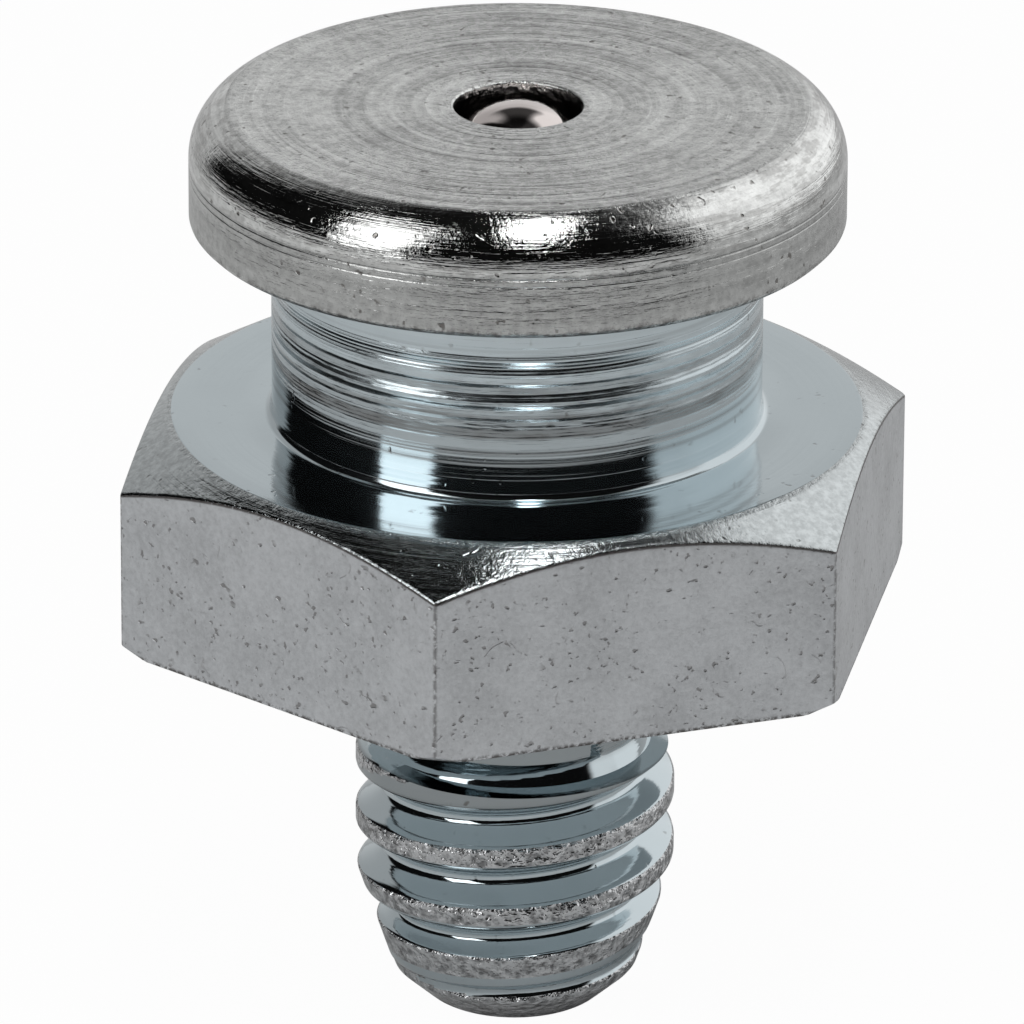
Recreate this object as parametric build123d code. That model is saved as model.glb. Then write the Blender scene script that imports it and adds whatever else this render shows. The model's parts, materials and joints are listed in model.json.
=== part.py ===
from build123d import *
from math import atan2, cos, radians, sin, sqrt, tan
import os

# Button-head grease nipple, in millimetres. +Z runs up the axis from the centre of the threaded
# tip, which is the origin. Two corners of the hexagon lie on the X axis.

# Head, the round button that a coupler hooks over
HEAD_RADIUS = 6.35
HEAD_THICKNESS = 2.33
HEAD_EDGE_RADIUS = 1.10      # rounding between the face and the side
HEAD_EDGE_DROP = 1.05        # height of that rounding
HEAD_UNDER_CHAMFER = 0.12

# Neck, where the coupler's jaws close
NECK_RADIUS = 4.7625
NECK_LENGTH = 3.96
NECK_CHAMFER = 0.12          # corner left by the turning tool at both ends of the neck

# Wrench hexagon
HEX_ACROSS_FLATS = 14.0
HEX_HEIGHT = 4.12
HEX_CHAMFER_ANGLE = 30.0
HEX_TOP_SET_IN = 0.26        # the upper chamfer starts this far inside the flats
HEX_SEAT_SET_OUT = 0.80      # the lower chamfer starts this far outside the flats

# Threaded shank
SHANK_LENGTH = 8.175
THREAD_MAJOR_RADIUS = 3.135
THREAD_PITCH = 1.27
THREAD_FLANK_ANGLE = 30.0
THREAD_CREST = 0.40          # width of the flat crest along the axis
THREAD_DEPTH = 0.563
RELIEF_LENGTH = 2.46
RELIEF_DEPTH = 0.05          # below the root of the thread
TAPER_LENGTH = 2.10
TAPER_DROP = 0.705           # radius lost along the lead taper
NOSE_LENGTH = 0.635
NOSE_DROP = 0.69             # radius lost round the rolled-in nose

# Grease passage
BALL_RADIUS = 1.50
BALL_PROUD = 0.02            # top of the ball above the face of the head
INLET_RADIUS = 1.25
SEAT_HALF_ANGLE = 30.0
BORE_GAP = 0.25              # radial room round the ball
OUTLET_RADIUS = 1.00
LIP_THICKNESS = 0.675        # rolled-in lip that holds the spring

# Check spring
WIRE_RADIUS = 0.15
WIRE_SIDES = 6               # flats that stand for the round wire, their corners on it
COIL_GAP = 0.30              # radial room between the spring and the bore
ACTIVE_COILS = 7
END_COIL_PITCH_FACTOR = 1.1  # pitch of the closed end coils, in wire diameters

# Rest gaps
SEAT_GAP = 0.03              # ball to seat
SPRING_GAP = 0.03            # spring to ball, and spring to lip

# Levels and radii that follow from the sizes above
SEAT_Z = SHANK_LENGTH
HEX_TOP_Z = SEAT_Z + HEX_HEIGHT
HEAD_BOTTOM_Z = HEX_TOP_Z + NECK_LENGTH
HEAD_TOP_Z = HEAD_BOTTOM_Z + HEAD_THICKNESS
THREAD_MINOR_RADIUS = THREAD_MAJOR_RADIUS - THREAD_DEPTH
RELIEF_RADIUS = THREAD_MINOR_RADIUS - RELIEF_DEPTH
RELIEF_Z = SEAT_Z - RELIEF_LENGTH
BORE_RADIUS = BALL_RADIUS + BORE_GAP
BALL_Z = HEAD_TOP_Z + BALL_PROUD - BALL_RADIUS


def shank_outline():
    """Turned outline of the shank: nose, lead taper, full thread and the relief under the hexagon."""
    nose_radius = THREAD_MAJOR_RADIUS - TAPER_DROP
    run_out = (THREAD_MAJOR_RADIUS - RELIEF_RADIUS) * tan(radians(THREAD_FLANK_ANGLE))
    with BuildPart() as outline:
        with BuildSketch(Plane.XZ):
            with BuildLine():
                Polyline(
                    (0, 0),
                    (nose_radius - NOSE_DROP, 0),
                    (nose_radius, NOSE_LENGTH),
                    (THREAD_MAJOR_RADIUS, NOSE_LENGTH + TAPER_LENGTH),
                    (THREAD_MAJOR_RADIUS, RELIEF_Z - run_out),
                    (RELIEF_RADIUS, RELIEF_Z),
                    (RELIEF_RADIUS, SEAT_Z + HEX_HEIGHT / 2),
                    (0, SEAT_Z + HEX_HEIGHT / 2),
                    close=True,
                )
            make_face()
        revolve(axis=Axis.Z)
    return outline.part


def thread_groove():
    """Right-hand groove, from a pitch below the tip up into the relief, open past the crest."""
    slope = tan(radians(THREAD_FLANK_ANGLE))
    root_half = (THREAD_PITCH - THREAD_CREST) / 2 - THREAD_DEPTH * slope
    reach = THREAD_DEPTH + THREAD_PITCH / 8
    mouth_half = root_half + reach * slope
    start_z = -THREAD_PITCH
    rise = RELIEF_Z + RELIEF_LENGTH / 2 - start_z
    with BuildPart() as groove:
        with BuildLine():
            path = Helix(THREAD_PITCH, rise, THREAD_MINOR_RADIUS, center=(0, 0, start_z))
        with BuildSketch(Plane.XZ):
            with BuildLine():
                Polyline(
                    (THREAD_MINOR_RADIUS, start_z - root_half),
                    (THREAD_MINOR_RADIUS + reach, start_z - mouth_half),
                    (THREAD_MINOR_RADIUS + reach, start_z + mouth_half),
                    (THREAD_MINOR_RADIUS, start_z + root_half),
                    close=True,
                )
            make_face()
        sweep(path=path, is_frenet=True)
    return groove.part


def threaded_shank():
    """A plain rod with the groove cut round it, then turned down to the shank's outline."""
    length = SEAT_Z + HEX_HEIGHT / 2
    rod = Pos(0, 0, length / 2) * Cylinder(THREAD_MAJOR_RADIUS, length)
    return (rod - thread_groove()) & shank_outline()


def neck_and_head():
    """The turned half above the hexagon, from inside it to the face of the head."""
    hex_middle_z = SEAT_Z + HEX_HEIGHT / 2
    side_top_z = HEAD_TOP_Z - HEAD_EDGE_DROP
    edge_centre = HEAD_RADIUS - HEAD_EDGE_RADIUS
    face_radius = edge_centre + sqrt(HEAD_EDGE_RADIUS**2 - HEAD_EDGE_DROP**2)
    half_turn = atan2(HEAD_EDGE_DROP, face_radius - edge_centre) / 2
    edge_middle = (
        edge_centre + HEAD_EDGE_RADIUS * cos(half_turn),
        side_top_z + HEAD_EDGE_RADIUS * sin(half_turn),
    )
    corner_radius = NECK_RADIUS + NECK_CHAMFER
    with BuildPart() as upper:
        with BuildSketch(Plane.XZ):
            with BuildLine():
                Polyline(
                    (0, hex_middle_z),
                    (corner_radius, hex_middle_z),
                    (corner_radius, HEX_TOP_Z),
                    (NECK_RADIUS, HEX_TOP_Z + NECK_CHAMFER),
                    (NECK_RADIUS, HEAD_BOTTOM_Z - NECK_CHAMFER),
                    (corner_radius, HEAD_BOTTOM_Z),
                    (HEAD_RADIUS - HEAD_UNDER_CHAMFER, HEAD_BOTTOM_Z),
                    (HEAD_RADIUS, HEAD_BOTTOM_Z + HEAD_UNDER_CHAMFER),
                    (HEAD_RADIUS, side_top_z),
                )
                ThreePointArc((HEAD_RADIUS, side_top_z), edge_middle, (face_radius, HEAD_TOP_Z))
                Polyline((face_radius, HEAD_TOP_Z), (0, HEAD_TOP_Z), (0, hex_middle_z))
            make_face()
        revolve(axis=Axis.Z)
    return upper.part


def hexagon():
    """Wrench hexagon, its corners cut by a cone above and by a smaller one below."""
    flat_radius = HEX_ACROSS_FLATS / 2
    top_radius = flat_radius - HEX_TOP_SET_IN
    seat_radius = flat_radius + HEX_SEAT_SET_OUT
    outer_radius = flat_radius / cos(radians(30)) + HEX_TOP_SET_IN
    slope = tan(radians(HEX_CHAMFER_ANGLE))
    with BuildPart() as prism:
        with BuildSketch(Plane.XY.offset(SEAT_Z)):
            RegularPolygon(flat_radius, 6, major_radius=False)
        extrude(amount=HEX_HEIGHT)
        with BuildSketch(Plane.XZ):
            with BuildLine():
                Polyline(
                    (0, SEAT_Z),
                    (seat_radius, SEAT_Z),
                    (outer_radius, SEAT_Z + (outer_radius - seat_radius) * slope),
                    (outer_radius, HEX_TOP_Z - (outer_radius - top_radius) * slope),
                    (top_radius, HEX_TOP_Z),
                    (0, HEX_TOP_Z),
                    close=True,
                )
            make_face()
        revolve(axis=Axis.Z, mode=Mode.INTERSECT)
    return prism.part


def passage():
    """Grease way: inlet, ball seat cone, spring bore and the outlet through the lip."""
    slope = radians(SEAT_HALF_ANGLE)
    contact_radius = (BALL_RADIUS + SEAT_GAP) * cos(slope)
    contact_z = BALL_Z + (BALL_RADIUS + SEAT_GAP) * sin(slope)
    seat_top_z = contact_z + (contact_radius - INLET_RADIUS) / tan(slope)
    seat_foot_z = contact_z - (BORE_RADIUS - contact_radius) / tan(slope)
    overrun = INLET_RADIUS
    with BuildPart() as way:
        with BuildSketch(Plane.XZ):
            with BuildLine():
                Polyline(
                    (0, -overrun),
                    (OUTLET_RADIUS, -overrun),
                    (OUTLET_RADIUS, LIP_THICKNESS),
                    (BORE_RADIUS, LIP_THICKNESS),
                    (BORE_RADIUS, seat_foot_z),
                    (INLET_RADIUS, seat_top_z),
                    (INLET_RADIUS, HEAD_TOP_Z + overrun),
                    (0, HEAD_TOP_Z + overrun),
                    close=True,
                )
            make_face()
        revolve(axis=Axis.Z)
    return way.part


def nipple_body():
    """The plated steel body, one piece."""
    return threaded_shank() + hexagon() + neck_and_head() - passage()


def check_ball():
    return Pos(0, 0, BALL_Z) * Sphere(BALL_RADIUS)


def check_spring():
    """Compression spring with a closed coil at each end, between the lip and the ball."""
    coil_radius = BORE_RADIUS - COIL_GAP - WIRE_RADIUS
    reach = BALL_RADIUS + SPRING_GAP + WIRE_RADIUS
    bottom_z = LIP_THICKNESS + SPRING_GAP + WIRE_RADIUS
    top_z = BALL_Z - sqrt(reach**2 - coil_radius**2)
    end_rise = 2 * WIRE_RADIUS * END_COIL_PITCH_FACTOR
    active_rise = top_z - bottom_z - 2 * end_rise
    stages = (
        (end_rise, end_rise, bottom_z),
        (active_rise / ACTIVE_COILS, active_rise, bottom_z + end_rise),
        (end_rise, end_rise, top_z - end_rise),
    )
    with BuildPart() as spring:
        with BuildLine() as path:
            for pitch, rise, start_z in stages:
                Helix(pitch, rise, coil_radius, center=(0, 0, start_z))
        start = Plane(origin=path.line @ 0, z_dir=path.line % 0)
        with BuildSketch(start):
            RegularPolygon(WIRE_RADIUS, WIRE_SIDES)
        sweep(path=path.line, is_frenet=True)
    return spring.part


os.makedirs("parts", exist_ok=True)
export_step(nipple_body(), "parts/nipple_body.step")
export_step(check_ball(), "parts/check_ball.step")
export_step(check_spring(), "parts/check_spring.step")
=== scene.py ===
import json
import math

import bmesh
import bpy
import numpy as np
from mathutils import Matrix, Vector


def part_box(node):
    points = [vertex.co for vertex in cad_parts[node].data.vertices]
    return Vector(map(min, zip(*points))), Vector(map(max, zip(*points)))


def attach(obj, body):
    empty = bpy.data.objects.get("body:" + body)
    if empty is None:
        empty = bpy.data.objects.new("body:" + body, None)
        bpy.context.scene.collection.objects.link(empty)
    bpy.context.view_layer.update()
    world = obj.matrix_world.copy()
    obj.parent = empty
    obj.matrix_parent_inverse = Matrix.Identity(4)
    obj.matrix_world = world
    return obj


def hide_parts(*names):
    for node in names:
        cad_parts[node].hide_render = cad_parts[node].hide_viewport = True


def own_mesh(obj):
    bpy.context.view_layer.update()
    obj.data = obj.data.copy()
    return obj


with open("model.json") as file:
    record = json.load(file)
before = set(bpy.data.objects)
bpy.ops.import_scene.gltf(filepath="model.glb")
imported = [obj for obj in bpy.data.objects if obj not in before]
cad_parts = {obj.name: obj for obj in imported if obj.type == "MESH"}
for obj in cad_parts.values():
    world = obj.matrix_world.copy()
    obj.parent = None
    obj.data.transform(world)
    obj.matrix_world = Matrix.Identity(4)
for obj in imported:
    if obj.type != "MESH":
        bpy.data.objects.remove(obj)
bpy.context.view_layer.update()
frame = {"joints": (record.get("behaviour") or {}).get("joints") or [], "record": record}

bl_info = {
    "name": "Button Head Grease Nipple",
    "version": (1, 0, 0),
    "blender": (4, 5, 0),
    "location": "View3D > Sidebar > Grease Nipple",
    "description": "Dresses a button head grease nipple in fine meshes and plated steel finishes",
    "category": "Add Mesh",
}

MM = 0.001
MOUNTS = {mount["name"]: mount for mount in frame["record"]["mounts"]}

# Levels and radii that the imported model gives, in metres
HEAD_RADIUS = MOUNTS["head_rim"]["dims"]["r_mm"] * MM
HEAD_TOP_Z = MOUNTS["head_face"]["pos_m"][2]
SEAT_Z = MOUNTS["seat_face"]["pos_m"][2]
MAJOR_RADIUS = MOUNTS["thread"]["dims"]["r_mm"] * MM
RELIEF_Z = MOUNTS["thread"]["dims"]["length_mm"] * MM
HEX_FLAT_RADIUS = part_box("nipple_body")[1].y
BALL_LOW, BALL_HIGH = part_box("check_ball")
BALL_RADIUS = (BALL_HIGH.z - BALL_LOW.z) / 2
BALL_Z = (BALL_HIGH.z + BALL_LOW.z) / 2
SPRING_LOW, SPRING_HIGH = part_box("check_spring")

# Sizes in millimetres that the meshes share with the finishes, and the slope of the chamfers
HEAD_THICKNESS = 2.33
HEX_HEIGHT = 4.12
HEX_TOP_SET_IN = 0.26
CHAMFER_SLOPE = math.tan(math.radians(30))


# ---------------- sizes and finishes

def length(name, description, millimetres):
    """A size in metres that shows in the sidebar."""
    return bpy.props.FloatProperty(
        name=name, description=description, default=millimetres * MM, unit="LENGTH", precision=6
    )


def colour(name, description, value):
    """A finish colour that shows in the sidebar."""
    return bpy.props.FloatVectorProperty(
        name=name, description=description, default=value, subtype="COLOR", size=3, min=0, max=1
    )


def angle(name, description, degrees):
    """An angle that shows in the sidebar."""
    return bpy.props.FloatProperty(
        name=name, description=description, default=math.radians(degrees), subtype="ANGLE"
    )


class NippleSizes(bpy.types.PropertyGroup):
    """Sizes of the body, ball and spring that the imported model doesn't name."""

    head_edge_radius: length("Head edge", "Rounding between the head's face and side", 1.10)
    head_edge_drop: length("Head edge drop", "Height of that rounding", 1.05)
    head_thickness: length("Head thickness", "Thickness of the round head", HEAD_THICKNESS)
    head_under_chamfer: length("Head under chamfer", "Chamfer under the head", 0.12)
    neck_radius: length("Neck radius", "Radius of the neck", 4.7625)
    neck_fillet: length("Neck fillet", "Rounding at both ends of the neck", 0.16)
    hex_height: length("Hexagon height", "Height of the wrench hexagon", HEX_HEIGHT)
    hex_top_set_in: length("Upper chamfer set in", "How far inside the flats it starts", HEX_TOP_SET_IN)
    hex_seat_set_out: length("Lower chamfer set out", "How far outside the flats it starts", 0.80)
    hex_corner: length("Hexagon corner", "Rounding of the hexagon's upright corners", 0.10)
    thread_pitch: length("Pitch", "Pitch of the thread", 1.27)
    thread_crest: length("Crest", "Width of the thread's flat crest", 0.40)
    thread_depth: length("Thread depth", "Depth from crest to root", 0.563)
    relief_depth: length("Relief depth", "Depth of the relief below the thread's root", 0.05)
    taper_length: length("Lead taper", "Length of the lead taper", 2.10)
    taper_drop: length("Taper drop", "Radius lost along the lead taper", 0.705)
    nose_length: length("Nose length", "Length of the rolled-in nose", 0.635)
    nose_drop: length("Nose drop", "Radius lost round the rolled-in nose", 0.69)
    inlet_radius: length("Inlet radius", "Radius of the grease inlet", 1.25)
    outlet_radius: length("Outlet radius", "Radius of the outlet in the tip", 1.00)
    bore_gap: length("Bore gap", "Radial room round the ball", 0.25)
    lip_thickness: length("Lip thickness", "Thickness of the lip that holds the spring", 0.675)
    seat_gap: length("Seat gap", "Gap from the ball to its seat", 0.03)
    wire_radius: length("Wire radius", "Radius of the spring wire", 0.15)
    coils: bpy.props.IntProperty(
        name="Coils", description="Open coils of the spring", default=7, min=1
    )


class NippleFinish(bpy.types.PropertyGroup):
    """Colours of the zinc plate, the ball and the spring."""

    plate: colour("Zinc plate", "Bright turned zinc plate", (0.56, 0.63, 0.66))
    face: colour("Head face", "Plate over the turned face and edge of the head", (0.70, 0.71, 0.70))
    flats: colour("Hexagon flats", "Plate over the drawn bar of the flats", (0.66, 0.68, 0.70))
    crest: colour("Thread crests", "Plate over the rough thread crests", (0.66, 0.67, 0.68))
    # Pit colour, also the colour of the painted shade on the neck, the relief and the last crest
    pit_and_painted_shade: colour("Pits", "Small dark pits in the plate", (0.10, 0.085, 0.075))
    stain: colour("Torn edges", "Thin brownish plate along torn edges", (0.075, 0.065, 0.06))
    # The bore's colour is painted dark, as shade deep in the bore
    bore: colour("Bore", "Unplated wall of the grease bore", (0.14, 0.14, 0.14))
    ball: colour("Ball", "Polished bearing ball", (0.74, 0.68, 0.66))
    spring: colour("Spring", "Drawn spring wire", (0.40, 0.40, 0.41))


class StudioSettings(bpy.types.PropertyGroup):
    """Camera, floor and light of the studio."""

    azimuth: angle("Azimuth", "Camera's way round the part", -19.1)
    elevation: angle("Elevation", "Camera's height above the horizon", 22.845)
    roll: angle("Roll", "Camera's lean", 0.274)
    distance: length("Distance", "Camera's distance from its aim", 237.3)
    aim_right: length("Aim right", "Aim to the right of the hexagon's underside", -0.084)
    aim_up: length("Aim up", "Aim above the hexagon's underside", 1.757)
    lens: bpy.props.FloatProperty(
        name="Lens", description="Focal length on a 36 mm sensor", default=426.5,
        subtype="DISTANCE_CAMERA",
    )
    floor_radius: length("Floor radius", "Radius of the pale floor", 400)
    floor_paleness: bpy.props.FloatProperty(
        name="Floor paleness", description="Grey level of the floor", default=0.80, min=0, max=1,
        subtype="FACTOR",
    )


# ---------------- shader sheets

class Term:
    """A value in a material: arithmetic on it adds Math nodes."""

    def __init__(self, sheet, socket):
        self.sheet = sheet
        self.socket = socket

    def __add__(self, other):
        return self.sheet.math("ADD", self, other)

    __radd__ = __add__

    def __sub__(self, other):
        return self.sheet.math("SUBTRACT", self, other)

    def __rsub__(self, other):
        return self.sheet.math("SUBTRACT", other, self)

    def __mul__(self, other):
        return self.sheet.math("MULTIPLY", self, other)

    __rmul__ = __mul__

    def __truediv__(self, other):
        return self.sheet.math("DIVIDE", self, other)

    def __rtruediv__(self, other):
        return self.sheet.math("DIVIDE", other, self)

    def __pow__(self, other):
        return self.sheet.math("POWER", self, other)

    def __abs__(self):
        return self.sheet.math("ABSOLUTE", self)


class Sheet:
    """The node tree of one material or of the world, written as plain expressions."""

    def __init__(self, tree):
        self.tree = tree
        tree.nodes.clear()

    def node(self, kind, settings=None, out=0, **sockets):
        """Adds one node: its settings first, then its sockets, and gives one output as a Term."""
        made = self.tree.nodes.new(kind)
        for name, value in (settings or {}).items():
            setattr(made, name, value)
        for name, value in sockets.items():
            key = int(name[1:]) if name[0] == "_" else name.replace("_", " ")
            self.feed(made.inputs[key], value)
        return Term(self, made.outputs[out]) if made.outputs else made

    def feed(self, socket, value):
        """Links a Term to a socket, or sets a plain value on it."""
        if isinstance(value, Term):
            self.tree.links.new(value.socket, socket)
        elif socket.type == "RGBA":
            socket.default_value = (*value, 1.0)
        else:
            socket.default_value = value

    def math(self, operation, first, second=0.0):
        return self.node("ShaderNodeMath", {"operation": operation}, _0=first, _1=second)

    def largest(self, first, *others):
        """The largest of two or more values."""
        for other in others:
            first = self.math("MAXIMUM", first, other)
        return first

    def step(self, value, low, high, start=0.0, end=1.0):
        """Smooth step from start to end as value goes from low to high."""
        return self.node(
            "ShaderNodeMapRange", {"interpolation_type": "SMOOTHSTEP"},
            Value=value, From_Min=low, From_Max=high, To_Min=start, To_Max=end,
        )

    def fall(self, value, low, high):
        """Smooth step down from 1 to 0."""
        return self.step(value, low, high, 1.0, 0.0)

    def span(self, value, rising, falling):
        """Mask that rises over one range of value and falls again over another."""
        return self.step(value, *rising) * self.fall(value, *falling)

    def split(self, vector):
        made = self.node("ShaderNodeSeparateXYZ", _0=vector)
        outputs = made.socket.node.outputs
        return tuple(Term(self, outputs[i]) for i in range(3))

    def join(self, x, y, z):
        return self.node("ShaderNodeCombineXYZ", _0=x, _1=y, _2=z)

    def scaled(self, vector, factor):
        return self.node("ShaderNodeVectorMath", {"operation": "SCALE"}, _0=vector, Scale=factor)

    def dot(self, vector, axis):
        """How far a vector points along an axis."""
        operation = {"operation": "DOT_PRODUCT"}
        return self.node("ShaderNodeVectorMath", operation, out="Value", _0=vector, _1=tuple(axis))

    def blend(self, factor, first, second):
        """Mixes two colours."""
        return self.node("ShaderNodeMix", {"data_type": "RGBA"}, out=2, _0=factor, _6=first, _7=second)

    def noise(self, vector, scale=1.0, detail=2.0, roughness=0.5):
        return self.node("ShaderNodeTexNoise", Vector=vector, Scale=scale, Detail=detail, Roughness=roughness)

    def cells(self, vector, scale):
        """Distance to the nearest of many scattered points."""
        return self.node("ShaderNodeTexVoronoi", Vector=vector, Scale=scale, Randomness=1.0)

    def millimetres(self):
        """Place on the piece, in millimetres."""
        place = self.node("ShaderNodeTexCoord", out="Object")
        return self.scaled(place, 1.0 / MM)

    def metal(self, base, roughness, height, depth):
        """A metal surface as the sheet's result, bumped by a height to a depth in millimetres."""
        bump = self.node("ShaderNodeBump", Height=height, Distance=depth * MM, Strength=1.0)
        surface = self.node(
            "ShaderNodeBsdfPrincipled", Metallic=1.0, Base_Color=base, Roughness=roughness, Normal=bump
        )
        self.node("ShaderNodeOutputMaterial", Surface=surface)


def material(name):
    made = bpy.data.materials.new(name)
    made.use_nodes = True
    return made, Sheet(made.node_tree)


def tint(base, factor):
    """A plain colour made lighter or darker."""
    return tuple(channel * factor for channel in base)


# ---------------- levels and masks of the finishes

# Heights in millimetres over which a mask on the body rises, and over which it falls again
NECK = (12.30, 12.34), (16.20, 16.24)
# Low on the neck, where painted shade darkens the plate in bands
PAINTED_NECK_SHADE = (12.8, 13.1), (13.7, 14.6)
# The torn band of the neck: torn plate, its darkening partly painted shade
TORN_NECK = (13.2, 13.9), (14.6, 15.2)
RELIEF = (5.60, 5.80), (8.15, 8.17)
# The last crest under the hexagon, darkened as painted shade
PAINTED_CREST_SHADE = (4.80, 4.90), (5.50, 5.60)

# Depth below the face, half width and strength of the two turned grooves in the side of the head
HEAD_GROOVES = (1.12, 0.035, 1.0), (1.27, 0.030, 0.7)


def round_axis(sheet):
    """Place in millimetres, with the radius from the part's axis."""
    place = sheet.millimetres()
    x, y, z = sheet.split(place)
    radius = (x * x + y * y) ** 0.5
    return place, x, y, z, radius


def across_flat(sheet, x, y):
    """Angle from the middle of the nearest flat of the hexagon."""
    around = sheet.math("ARCTAN2", y, x)
    return sheet.math("FLOORED_MODULO", around, math.pi / 3) - math.pi / 6


def hexagon_side(sheet, x, y):
    """Distance in millimetres from the axis to the hexagon's side in this direction."""
    return HEX_FLAT_RADIUS / MM / sheet.math("COSINE", across_flat(sheet, x, y))


def corner_distance(sheet, x, y, radius):
    """Distance in millimetres from the hexagon's nearest upright corner, along its flat."""
    half_flat = HEX_FLAT_RADIUS / MM * math.tan(math.pi / 6)
    return half_flat - abs(radius * sheet.math("SINE", across_flat(sheet, x, y)))


def turned_lines(sheet, x, y, along, per_mm, drift=0.05, detail=3.0):
    """Lines left by a turning tool, which run round the axis and drift a little."""
    place = sheet.join(x * drift, y * drift, along * per_mm)
    return sheet.noise(place, detail=detail, roughness=0.6)


def stretched_noise(sheet, x, y, z, around, upward, detail=2.0, roughness=0.6):
    """Noise of one grain size around the axis and another along it."""
    place = sheet.join(x * around, y * around, z * upward)
    return sheet.noise(place, detail=detail, roughness=roughness)


def pits(sheet, place, scale, patches, share):
    """Mask of small uneven pits, gathered in patches over a share of the surface."""
    spots = sheet.step(sheet.noise(place, scale=scale, detail=1.0), 0.66, 0.76)
    bare = 1.0 - share
    return spots * sheet.step(sheet.noise(place, scale=patches), bare - 0.06, bare + 0.06)


def creases(sheet, place, scale, width, share):
    """Mask of a few short curved scratches over a share of the surface."""
    lines = sheet.fall(abs(sheet.noise(place, scale=scale, detail=1.0) - 0.5), 0.0, width)
    bare = 1.0 - share
    return lines * sheet.step(sheet.noise(place, scale=scale * 1.7), bare, bare + 0.05)


# ---------------- finishes

def turned_plate(finish):
    """Bright zinc over turned steel: neck, hexagon's top, relief and thread flanks, with the upper neck
    tinted lighter as a painted reflection, and painted shade low on the neck, in its ring valleys, in its
    torn band, on the relief and on the last crest.
    """
    made, sheet = material("turned_plate")
    place, x, y, z, radius = round_axis(sheet)
    along = radius - z
    neck = sheet.span(z, *NECK)
    upper_neck = neck * sheet.step(z, 13.1, 14.5)
    painted_low_neck_shade = neck * sheet.span(z, *PAINTED_NECK_SHADE)
    torn = neck * sheet.span(z, *TORN_NECK)
    relief = sheet.span(z, *RELIEF)
    painted_last_crest_shade = sheet.step(radius, 3.02, 3.10) * sheet.span(z, *PAINTED_CREST_SHADE)

    rings = turned_lines(sheet, x, y, along, per_mm=2.9, drift=0.008, detail=1.0)
    lines = turned_lines(sheet, x, y, along, per_mm=7.0, drift=0.02, detail=1.0)
    bands = turned_lines(sheet, x, y, along, per_mm=4.2, drift=0.012, detail=1.0)
    fine = turned_lines(sheet, x, y, along, per_mm=26.0, drift=0.10)
    haze = sheet.noise(place, scale=0.9, detail=3.0)
    cloud = sheet.noise(place, scale=6.0, detail=4.0)
    tears = stretched_noise(sheet, x, y, z, around=1.2, upward=5.0)
    marks = pits(sheet, place, scale=5.0, patches=1.1, share=0.42)
    # Painted shade in the valleys of the turned rings on the upper neck
    painted_valley_shade = upper_neck * sheet.fall(rings, 0.37, 0.46)

    # Painted light: the upper neck is tinted lighter, a painted reflection
    base = sheet.blend(upper_neck * 0.7, finish.plate, tint(finish.plate, 1.27))
    base = sheet.blend(haze * 0.35 + cloud * 0.15, base, tint(finish.plate, 0.86))
    # Pits are real; the torn band darkens partly as torn plate and partly as painted shade, and the low neck
    # darkens as painted shade
    dark = marks * 0.35 + torn * 0.20 * sheet.step(tears, 0.45, 0.68) + painted_low_neck_shade * 0.12
    # Painted shade: dark turned bands low on the neck, faint ones higher up
    dark = dark + (painted_low_neck_shade * 0.42 + upper_neck * 0.05) * sheet.step(bands, 0.46, 0.58)
    # Painted shade under the hexagon: the relief darkens most at its foot by the thread, and the last crest
    # darkens too
    dark = dark + painted_last_crest_shade * 0.45 + relief * sheet.step(z, 6.15, 6.8, 0.42, 0.16) + painted_valley_shade * 0.24
    base = sheet.blend(dark, base, finish.pit_and_painted_shade)

    ringed = upper_neck * sheet.step(z, 15.0, 15.6, 1.0, 0.22)
    height = (rings - 0.5) * (0.1 + 1.2 * neck + 18.0 * ringed)
    height = height + (lines - 0.5) * (0.14 + 1.2 * neck + 4.0 * ringed + 1.4 * relief)
    height = height + (fine - 0.5) * (0.06 + 0.2 * neck + 0.6 * ringed + 0.3 * relief)
    height = height + (tears - 0.5) * torn * 2.6 - marks * 0.3
    roughness = 0.06 + 0.02 * neck + 0.05 * ringed + 0.08 * torn + 0.03 * haze
    sheet.metal(base, roughness, height, depth=0.010)
    return made


def chamfer_plate(finish):
    """Zinc over the cone that cuts the hexagon's corners: coarse tool marks, roughest at both edges."""
    made, sheet = material("chamfer_plate")
    place, x, y, _, radius = round_axis(sheet)
    outer_edge = sheet.fall(hexagon_side(sheet, x, y) - radius, 0.01, 0.09)
    inner_edge = sheet.fall(radius, 6.77, 6.88)
    lines = turned_lines(sheet, x, y, radius, per_mm=7.0, drift=0.10, detail=4.0)
    fine = turned_lines(sheet, x, y, radius, per_mm=26.0, drift=0.3)
    grain = sheet.noise(place, scale=7.0, detail=4.0, roughness=0.65)
    marks = pits(sheet, place, scale=5.0, patches=2.0, share=0.5)

    plate = tuple((one + other) / 2 for one, other in zip(finish.face, finish.plate))
    base = sheet.blend(sheet.step(grain, 0.30, 0.70) * 0.7, plate, tint(plate, 0.60))
    base = sheet.blend(marks * 0.5, base, finish.stain)

    height = (lines - 0.5) * 0.9 + (fine - 0.5) * 0.25 - marks * 0.4
    height = height + (grain - 0.5) * (0.7 + 1.2 * outer_edge + 2.2 * inner_edge)
    sheet.metal(base, 0.05 + 0.07 * grain, height, depth=0.013)
    return made


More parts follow.
